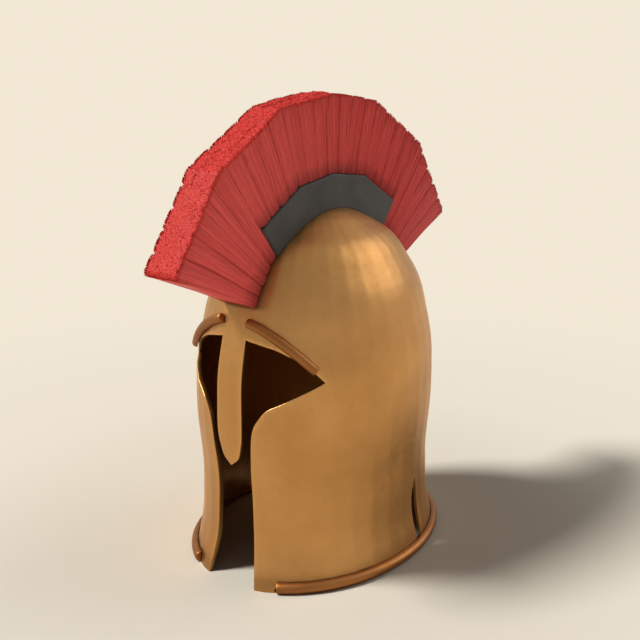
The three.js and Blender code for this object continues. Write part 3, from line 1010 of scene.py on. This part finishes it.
def blend_colours(nodes, links, share, first, second, mode="MIX"):
    """Blends two colours. Each value is another node's output, a colour or a number."""
    node = nodes.new("ShaderNodeMix")
    node.data_type = "RGBA"
    node.blend_type = mode
    sockets = node.inputs[0], node.inputs[6], node.inputs[7]    # the factor and the two colours
    for value, socket in zip((share, first, second), sockets):
        if isinstance(value, bpy.types.NodeSocket):
            links.new(value, socket)
        elif isinstance(value, tuple):
            socket.default_value = (*value, 1)
        else:
            socket.default_value = value
    return node.outputs[2]


def mix_shaders(nodes, links, share, first, second):
    join = nodes.new("ShaderNodeMixShader")
    for value, socket in zip((share, first, second), join.inputs):
        links.new(value, socket)
    return join.outputs[0]


def add_bump(nodes, links, height, strength, distance, target):
    bump = nodes.new("ShaderNodeBump")
    bump.inputs["Strength"].default_value = strength
    bump.inputs["Distance"].default_value = distance
    links.new(height, bump.inputs["Height"])
    links.new(bump.outputs["Normal"], target.inputs["Normal"])


def read_mark(nodes, name):
    """The numbers that a mesh carries under a name, or 0 where it has none."""
    node = nodes.new("ShaderNodeAttribute")
    node.attribute_name = name
    return node.outputs["Fac"]


def place_of(nodes):
    return nodes.new("ShaderNodeTexCoord").outputs["Object"]


def bronze_material(name, colours, rough):
    """Raised and brushed bronze, paler where it is worn, darker inside and on the cut edges, and
    darker beside the crest and above the rim bead, where shade and dirt are painted."""
    light, dark = colours
    material, nodes, links, surface = new_material(name)
    place = place_of(nodes)
    clouds = noise_at(nodes, links, place, scale=14, detail=6)
    colour = ramp(nodes, links, clouds, [(0.35, dark), (0.65, light)])
    specks = noise_at(nodes, links, place, scale=160, detail=3, roughness=0.7)
    specks = ramp(nodes, links, specks, [(0.6, grey(0)), (0.85, grey(0.6))])
    colour = blend_colours(nodes, links, specks, colour, times(dark, 0.8))
    tints = {
        "wear": times(light, 1.2),
        # painted shade and dirt beside the crest and just above the rim bead
        "painted_shade_and_grime": times(dark, 0.45),
        "inside": times(dark, 0.95),
        "lip": times(dark, 0.5),
    }
    for mark, tint in tints.items():
        colour = blend_colours(nodes, links, read_mark(nodes, mark), colour, tint)
    links.new(colour, surface.inputs["Base Color"])
    surface.inputs["Metallic"].default_value = 1

    stretch = nodes.new("ShaderNodeMapping")
    stretch.inputs["Rotation"].default_value = (0.3, 0.2, 0.9)
    stretch.inputs["Scale"].default_value = (1, 1, 14)
    links.new(place, stretch.inputs["Vector"])
    strokes = noise_at(nodes, links, stretch.outputs["Vector"], scale=90, detail=5, roughness=0.65)
    patches = noise_at(nodes, links, place, scale=45, detail=5)
    dull = ramp(nodes, links, patches, [(0.3, grey(rough - 0.07)), (0.7, grey(rough + 0.09))])
    brushed = ramp(nodes, links, strokes, [(0.35, grey(rough - 0.06)), (0.7, grey(rough + 0.08))])
    links.new(blend_colours(nodes, links, 0.5, dull, brushed), surface.inputs["Roughness"])
    pits = noise_at(nodes, links, place, scale=420, detail=4, roughness=0.6)
    relief = blend_colours(nodes, links, 0.5, pits, strokes)
    add_bump(nodes, links, relief, strength=0.35, distance=0.0005, target=surface)
    return material


def leather_material():
    material, nodes, links, surface = new_material("dark_leather")
    place = place_of(nodes)
    dark, light = LEATHER
    clouds = noise_at(nodes, links, place, scale=30, detail=5)
    base = ramp(nodes, links, clouds, [(0.35, dark), (0.7, light)])
    links.new(base, surface.inputs["Base Color"])
    surface.inputs["Roughness"].default_value = 0.62
    grain = nodes.new("ShaderNodeTexVoronoi")
    grain.inputs["Scale"].default_value = 700
    links.new(place, grain.inputs["Vector"])
    add_bump(nodes, links, grain.outputs["Distance"], strength=0.4, distance=0.0004,
             target=surface)
    return material


def hair_material():
    material, nodes, links, surface = new_material("horsehair")
    dark, middle, light = HAIR
    shade = ramp(nodes, links, read_mark(nodes, "shade"), [(0, dark), (0.5, middle), (1, light)])
    # painted shade: darker at the hair's root and at its cut end
    length = ramp(nodes, links, read_mark(nodes, "along"), HAIR_PAINTED_SHADE)
    base = blend_colours(nodes, links, 1.0, shade, length, "MULTIPLY")
    links.new(base, surface.inputs["Base Color"])
    surface.inputs["Roughness"].default_value = 0.55
    shine = ramp(nodes, links, read_mark(nodes, "along"),
                 [(0, grey(HAIR_SHINE)), (CUT_START, grey(HAIR_SHINE)), (1, grey(CUT_SHINE))])
    links.new(shine, surface.inputs["Specular IOR Level"])
    return material


bronze = bronze_material("bronze", BRONZE, 0.42)
dark_bronze = bronze_material("dark_bronze", DARK_BRONZE, 0.46)
make_shell(bronze)
make_brow(1, dark_bronze)
make_brow(-1, dark_bronze)
make_rim(dark_bronze)
make_holder(leather_material())
make_crest(hair_material())

# ---- Floor, light and camera

BACKDROP = (0.888, 0.807, 0.665)
# The darker near floor is painted shade round the helmet
SHADED_NEAR_FLOOR = (0.61, 0.56, 0.465)
FAR_FLOOR = (0.70, 0.64, 0.53)
FLOOR_SHADE_SPAN = (0.16, 0.4)    # metres between which the floor's painted shade round the helmet gives way to the far floor
FADING = (0.2, 1.0)     # and between which it fades into the backdrop
FLOOR_RADIUS = 30000
FLOOR_SIDES = 96
MIRRORED = 0.52         # brightness of the world in reflections
SHED = 0.1              # and of the light that it sheds
LIGHT_DISTANCE = 3


def make_floor():
    """A pale floor, darker near the helmet with painted shade, that fades into the backdrop, so
    that no horizon shows.
    """
    material, nodes, links, surface = new_material("floor")
    length = nodes.new("ShaderNodeVectorMath")
    length.operation = "LENGTH"
    links.new(place_of(nodes), length.inputs[0])
    shares = []
    for curve, (start, end) in (("LINEAR", FLOOR_SHADE_SPAN), ("SMOOTHSTEP", FADING)):
        share = nodes.new("ShaderNodeMapRange")
        share.interpolation_type = curve
        share.inputs["From Min"].default_value = start
        share.inputs["From Max"].default_value = end
        links.new(length.outputs["Value"], share.inputs["Value"])
        shares.append(share.outputs["Result"])
    shade_fade, fading = shares
    # painted shade near the helmet, giving way to the paler far floor
    base = blend_colours(nodes, links, shade_fade, SHADED_NEAR_FLOOR, FAR_FLOOR)
    links.new(base, surface.inputs["Base Color"])
    surface.inputs["Roughness"].default_value = 1
    surface.inputs["Specular IOR Level"].default_value = 0
    glow = nodes.new("ShaderNodeEmission")
    glow.inputs["Color"].default_value = (*BACKDROP, 1)
    join = mix_shaders(nodes, links, fading, surface.outputs[0], glow.outputs[0])
    links.new(join, nodes["Material Output"].inputs["Surface"])
    turn = np.arange(FLOOR_SIDES) * 2 * math.pi / FLOOR_SIDES
    points = np.column_stack([np.cos(turn), np.sin(turn), np.zeros(FLOOR_SIDES)]) * FLOOR_RADIUS
    points = np.vstack([points, [0, 0, 0]])
    floor = add_mesh("floor", points, [cap_faces(np.arange(FLOOR_SIDES), FLOOR_SIDES)], material)


def add_facing(name, data, place, towards):
    """An object at a place, which looks back along `towards`."""
    thing = bpy.data.objects.new(name, data)
    thing.location = place
    thing.rotation_euler = (-towards).to_track_quat("-Z", "Y").to_euler()
    bpy.context.scene.collection.objects.link(thing)
    return thing


def make_light(name, azimuth, elevation, size, strength):
    """A far, soft light. azimuth is measured from +X, size is how wide it looks, and strength is
    what it adds to a white surface that faces it."""
    data = bpy.data.lights.new(name, "SUN")
    data.angle = math.radians(size)
    data.energy = math.pi * strength
    turn, rise = math.radians(azimuth), math.radians(elevation)
    towards = Vector((
        math.cos(turn) * math.cos(rise), math.sin(turn) * math.cos(rise), math.sin(rise),
    ))
    add_facing(name, data, towards * LIGHT_DISTANCE, towards)


def make_world():
    """A pale backdrop, dimmer in reflections and as a light than it looks."""
    world = bpy.data.worlds.new("studio")
    world.use_nodes = True
    nodes, links = world.node_tree.nodes, world.node_tree.links
    path = nodes.new("ShaderNodeLightPath")
    seen = nodes["Background"]
    shed = nodes.new("ShaderNodeBackground")
    mirrored = nodes.new("ShaderNodeBackground")
    for node, colour in ((seen, BACKDROP), (shed, grey(SHED)), (mirrored, grey(MIRRORED))):
        node.inputs["Color"].default_value = (*colour, 1)
    light = shed.outputs[0]
    for ray, other in (("Is Glossy Ray", mirrored), ("Is Camera Ray", seen)):
        light = mix_shaders(nodes, links, path.outputs[ray], light, other.outputs[0])
    links.new(light, nodes["World Output"].inputs["Surface"])
    bpy.context.scene.world = world


make_floor()
make_world()
make_light("key", azimuth=224, elevation=50, size=13, strength=1.24)
make_light("fill", azimuth=55, elevation=33, size=40, strength=0.23)
bpy.context.scene.view_settings.view_transform = "Standard"

TARGET = Vector((0, 0.0038, 0.2124))
DISTANCE = 0.9039
AZIMUTH = math.radians(36.637)
ELEVATION = math.radians(15.908)
LENS = 54
SENSOR = 36

lens = bpy.data.cameras.new("camera")
lens.lens = LENS
lens.sensor_width = SENSOR
back = Vector((
    math.sin(AZIMUTH) * math.cos(ELEVATION),
    -math.cos(AZIMUTH) * math.cos(ELEVATION),
    math.sin(ELEVATION),
))
bpy.context.scene.camera = add_facing("camera", lens, TARGET + DISTANCE * back, back)
